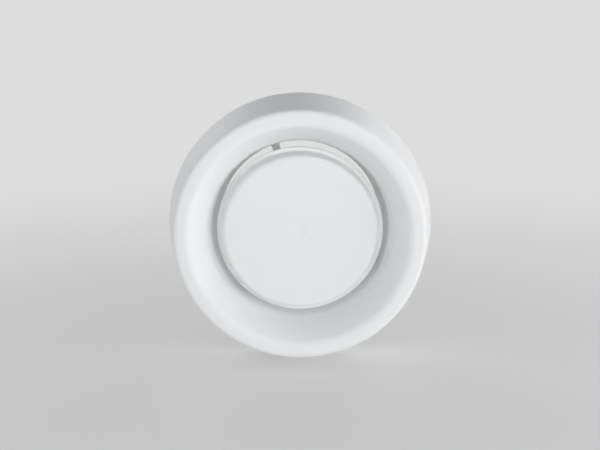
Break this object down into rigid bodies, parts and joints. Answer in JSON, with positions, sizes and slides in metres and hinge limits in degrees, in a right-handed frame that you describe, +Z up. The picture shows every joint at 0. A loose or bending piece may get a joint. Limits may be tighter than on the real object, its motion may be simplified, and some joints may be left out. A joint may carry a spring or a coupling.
{
  "type": "disc valve",
  "caption": "Round white ventilation valve with a deep flared skirt, a bowl and a disc that screws in and out on a spindle to set the air gap.",
  "frame": {"origin": "centre of the skirt's rear edge, on the wall plane", "axes": "+Y along the valve's axis into the duct, -Y to the room, +Z up as fixed on a wall"},
  "size_m": [0.148, 0.0761, 0.148],
  "materials": {
    "white_plastic": "white moulded polypropylene, satin",
    "white_plastic_disc": "white moulded polypropylene, satin",
    "foam": "closed-cell foam, matt",
    "plated_steel": "zinc-plated steel"
  },
  "bodies": {
    "housing": {"valve_body": "white_plastic", "foam_gasket": "foam"},
    "spindle": {"spindle": "plated_steel"},
    "disc": {"disc": "white_plastic_disc"},
    "lock_nut": {"lock_nut": "plated_steel"}
  },
  "joints": [
    {"name": "spindle_travel", "type": "slide", "parent": "housing", "child": "spindle", "axis": [0, 1, 0], "range_m": [-0.012, 0.0205]},
    {"name": "disc_turn", "type": "hinge", "parent": "spindle", "child": "disc", "pos_m": [0, 0, 0], "axis": [0, 1, 0], "range_deg": [-3450, 5900]},
    {"name": "lock_nut_turn", "type": "hinge", "parent": "housing", "child": "lock_nut", "pos_m": [0, 0.0206, 0], "axis": [0, 1, 0], "range_deg": [0, 180]}
  ],
  "couplings": [
    {"joint": "spindle_travel", "follows": "disc_turn", "m_per_rad": 0.00019894}
  ]
}
